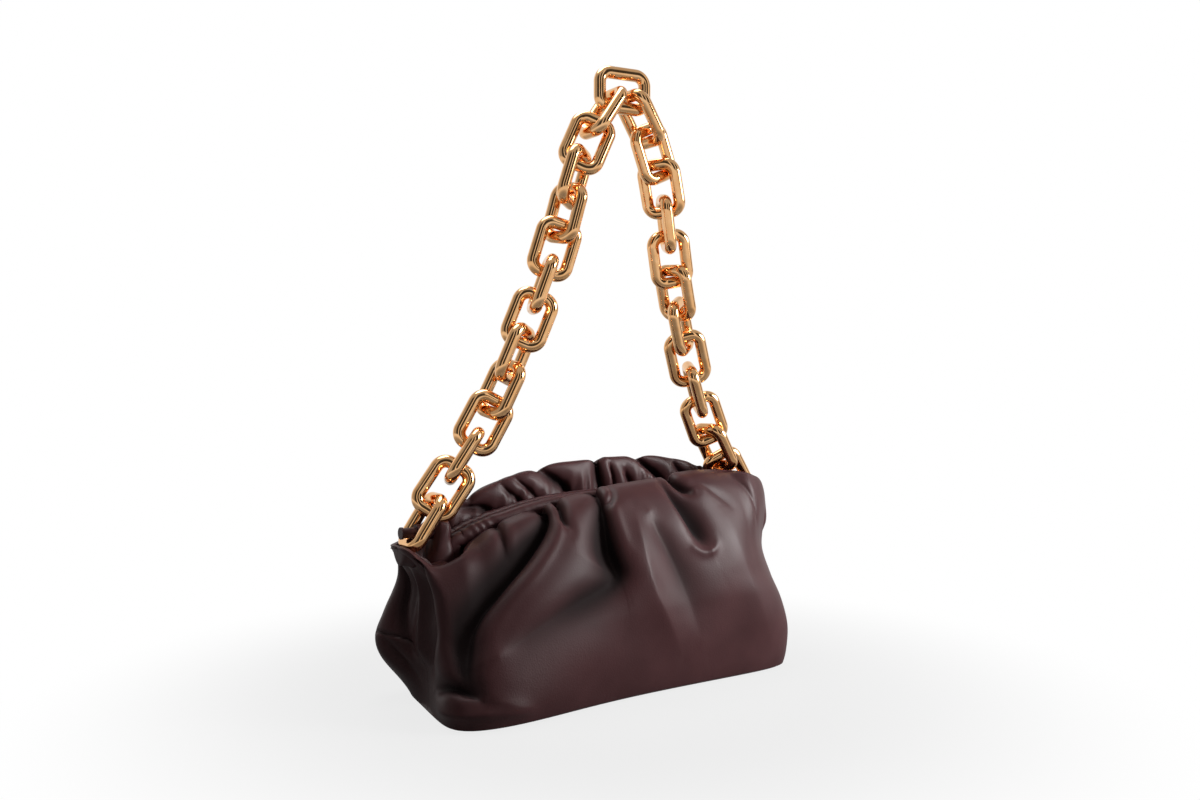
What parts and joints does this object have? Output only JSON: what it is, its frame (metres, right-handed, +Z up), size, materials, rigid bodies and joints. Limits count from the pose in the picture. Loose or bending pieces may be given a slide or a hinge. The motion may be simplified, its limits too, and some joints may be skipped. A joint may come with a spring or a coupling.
{
  "type": "chain shoulder bag",
  "caption": "Soft gathered leather pouch closed by a hinged half-frame mouth, with a shoulder chain of interlocking rounded rectangular links.",
  "frame": {"origin": "middle of the flat base, on the surface that the bag stands on", "axes": "+Z up, X along the bag's length, the front faces -Y"},
  "size_m": [0.3241, 0.137, 0.4529],
  "materials": {
    "dark_leather": "satin, smooth, softly creased",
    "lining": "matt suede-like",
    "board": "matt",
    "frame_steel": "plain",
    "magnet": "plated",
    "gold_metal": "polished warm gold"
  },
  "bodies": {
    "bag": {"front_panel": "dark_leather", "back_panel": "dark_leather", "front_lining": "lining", "back_lining": "lining", "base_board": "board", "pocket": "lining", "left_end_stay": "frame_steel", "right_end_stay": "frame_steel", "left_pivot_pin": "frame_steel", "right_pivot_pin": "frame_steel", "left_anchor_post": "gold_metal", "right_anchor_post": "gold_metal"},
    "front_half": {"front_frame": "frame_steel", "front_cuff": "dark_leather", "front_magnet": "magnet"},
    "back_half": {"back_frame": "frame_steel", "back_cuff": "dark_leather", "back_magnet": "magnet"},
    "left_01": {"link_left_01": "gold_metal"},
    "right_01": {"link_right_01": "gold_metal"},
    "left_02": {"link_left_02": "gold_metal"},
    "right_02": {"link_right_02": "gold_metal"},
    "left_03": {"link_left_03": "gold_metal"},
    "right_03": {"link_right_03": "gold_metal"},
    "left_04": {"link_left_04": "gold_metal"},
    "right_04": {"link_right_04": "gold_metal"},
    "left_05": {"link_left_05": "gold_metal"},
    "right_05": {"link_right_05": "gold_metal"},
    "left_06": {"link_left_06": "gold_metal"},
    "right_06": {"link_right_06": "gold_metal"},
    "left_07": {"link_left_07": "gold_metal"},
    "right_07": {"link_right_07": "gold_metal"},
    "left_08": {"link_left_08": "gold_metal"},
    "right_08": {"link_right_08": "gold_metal"},
    "left_09": {"link_left_09": "gold_metal"},
    "right_09": {"link_right_09": "gold_metal"},
    "left_10": {"link_left_10": "gold_metal"},
    "right_10": {"link_right_10": "gold_metal"},
    "left_11": {"link_left_11": "gold_metal"},
    "right_11": {"link_right_11": "gold_metal"},
    "left_12": {"link_left_12": "gold_metal"},
    "right_12": {"link_right_12": "gold_metal"},
    "left_13": {"link_left_13": "gold_metal"},
    "right_13": {"link_right_13": "gold_metal"},
    "top": {"top_link": "gold_metal"}
  },
  "joints": [
    {"name": "mouth_open", "type": "hinge", "parent": "bag", "child": "front_half", "pos_m": [0, 0, 0.101], "axis": [1, 0, 0], "range_deg": [0, 25], "deforming": ["front_panel", "front_lining"]},
    {"name": "mouth_open_back", "type": "hinge", "parent": "bag", "child": "back_half", "pos_m": [0, 0, 0.101], "axis": [1, 0, 0], "range_deg": [-25, 0], "deforming": ["back_panel", "back_lining"]},
    {"name": "swing_left_01", "type": "hinge", "parent": "bag", "child": "left_01", "pos_m": [-0.1525, 0, 0.1213], "axis": [1, 0, 0], "range_deg": [-8, 10]},
    {"name": "swing_right_01", "type": "hinge", "parent": "bag", "child": "right_01", "pos_m": [0.1525, 0, 0.1213], "axis": [1, 0, 0], "range_deg": [-8, 10]},
    {"name": "swing_left_02", "type": "hinge", "parent": "left_01", "child": "left_02", "pos_m": [-0.13808, -0.00088, 0.13546], "axis": [-1, 0, 0], "range_deg": [-9, 12]},
    {"name": "swing_right_02", "type": "hinge", "parent": "right_01", "child": "right_02", "pos_m": [0.13808, -0.00088, 0.13546], "axis": [-1, 0, 0], "range_deg": [-9, 12]},
    {"name": "swing_left_03", "type": "hinge", "parent": "left_02", "child": "left_03", "pos_m": [-0.11742, -0.00296, 0.16487], "axis": [1, 0, 0], "range_deg": [-11, 26]},
    {"name": "swing_right_03", "type": "hinge", "parent": "right_02", "child": "right_03", "pos_m": [0.11742, -0.00296, 0.16487], "axis": [1, 0, 0], "range_deg": [-11, 26]},
    {"name": "swing_left_04", "type": "hinge", "parent": "left_03", "child": "left_04", "pos_m": [-0.10773, -0.00435, 0.17927], "axis": [-1, 0, 0], "range_deg": [-17, 28]},
    {"name": "swing_right_04", "type": "hinge", "parent": "right_03", "child": "right_04", "pos_m": [0.10773, -0.00435, 0.17927], "axis": [-1, 0, 0], "range_deg": [-17, 28]},
    {"name": "swing_left_05", "type": "hinge", "parent": "left_04", "child": "left_05", "pos_m": [-0.09082, -0.00809, 0.21083], "axis": [1, 0, 0], "range_deg": [-34, 8]},
    {"name": "swing_right_05", "type": "hinge", "parent": "right_04", "child": "right_05", "pos_m": [0.09082, -0.00809, 0.21083], "axis": [1, 0, 0], "range_deg": [-34, 8]},
    {"name": "swing_left_06", "type": "hinge", "parent": "left_05", "child": "left_06", "pos_m": [-0.08381, -0.01024, 0.22662], "axis": [-1, 0, 0], "range_deg": [-17, 32]},
    {"name": "swing_right_06", "type": "hinge", "parent": "right_05", "child": "right_06", "pos_m": [0.08381, -0.01024, 0.22662], "axis": [-1, 0, 0], "range_deg": [-17, 32]},
    {"name": "swing_left_07", "type": "hinge", "parent": "left_06", "child": "left_07", "pos_m": [-0.07416, -0.01382, 0.25125], "axis": [1, 0, 0], "range_deg": [-15, 8]},
    {"name": "swing_right_07", "type": "hinge", "parent": "right_06", "child": "right_07", "pos_m": [0.07416, -0.01382, 0.25125], "axis": [1, 0, 0], "range_deg": [-15, 8]},
    {"name": "swing_left_08", "type": "hinge", "parent": "left_07", "child": "left_08", "pos_m": [-0.06184, -0.01882, 0.28471], "axis": [-1, 0, 0], "range_deg": [-20, 26]},
    {"name": "swing_right_08", "type": "hinge", "parent": "right_07", "child": "right_08", "pos_m": [0.06184, -0.01882, 0.28471], "axis": [-1, 0, 0], "range_deg": [-20, 26]},
    {"name": "swing_left_09", "type": "hinge", "parent": "left_08", "child": "left_09", "pos_m": [-0.05638, -0.02123, 0.30106], "axis": [1, 0, 0], "range_deg": [-30, 17]},
    {"name": "swing_right_09", "type": "hinge", "parent": "right_08", "child": "right_09", "pos_m": [0.05638, -0.02123, 0.30106], "axis": [1, 0, 0], "range_deg": [-30, 17]},
    {"name": "swing_left_10", "type": "hinge", "parent": "left_09", "child": "left_10", "pos_m": [-0.04705, -0.02589, 0.33551], "axis": [-1, 0, 0], "range_deg": [-15, 35]},
    {"name": "swing_right_10", "type": "hinge", "parent": "right_09", "child": "right_10", "pos_m": [0.04705, -0.02589, 0.33551], "axis": [-1, 0, 0], "range_deg": [-15, 35]},
    {"name": "swing_left_11", "type": "hinge", "parent": "left_10", "child": "left_11", "pos_m": [-0.04353, -0.02791, 0.35244], "axis": [1, 0, 0], "range_deg": [-13, 14]},
    {"name": "swing_right_11", "type": "hinge", "parent": "right_10", "child": "right_11", "pos_m": [0.04353, -0.02791, 0.35244], "axis": [1, 0, 0], "range_deg": [-13, 14]},
    {"name": "swing_left_12", "type": "hinge", "parent": "left_11", "child": "left_12", "pos_m": [-0.03678, -0.0305, 0.37818], "axis": [-1, 0, 0], "range_deg": [-6, 24]},
    {"name": "swing_right_12", "type": "hinge", "parent": "right_11", "child": "right_12", "pos_m": [0.03678, -0.0305, 0.37818], "axis": [-1, 0, 0], "range_deg": [-6, 24]},
    {"name": "swing_left_13", "type": "hinge", "parent": "left_12", "child": "left_13", "pos_m": [-0.02213, -0.03283, 0.41098], "axis": [1, 0, 0], "range_deg": [-40, 15]},
    {"name": "swing_right_13", "type": "hinge", "parent": "right_12", "child": "right_13", "pos_m": [0.02213, -0.03283, 0.41098], "axis": [1, 0, 0], "range_deg": [-40, 15]},
    {"name": "swing_top", "type": "hinge", "parent": "left_13", "child": "top", "pos_m": [-0.0065, -0.03366, 0.42337], "axis": [-1, 0, 0], "range_deg": [-14, 14]}
  ],
  "couplings": [
    {"joint": "mouth_open_back", "follows": "mouth_open", "ratio": -1},
    {"joint": "swing_right_01", "follows": "swing_left_01", "ratio": 1},
    {"joint": "swing_right_02", "follows": "swing_left_02", "ratio": 1},
    {"joint": "swing_right_03", "follows": "swing_left_03", "ratio": 1},
    {"joint": "swing_right_04", "follows": "swing_left_04", "ratio": 1},
    {"joint": "swing_right_05", "follows": "swing_left_05", "ratio": 1},
    {"joint": "swing_right_06", "follows": "swing_left_06", "ratio": 1},
    {"joint": "swing_right_07", "follows": "swing_left_07", "ratio": 1},
    {"joint": "swing_right_08", "follows": "swing_left_08", "ratio": 1},
    {"joint": "swing_right_09", "follows": "swing_left_09", "ratio": 1},
    {"joint": "swing_right_10", "follows": "swing_left_10", "ratio": 1},
    {"joint": "swing_right_11", "follows": "swing_left_11", "ratio": 1},
    {"joint": "swing_right_12", "follows": "swing_left_12", "ratio": 1},
    {"joint": "swing_right_13", "follows": "swing_left_13", "ratio": 1}
  ]
}
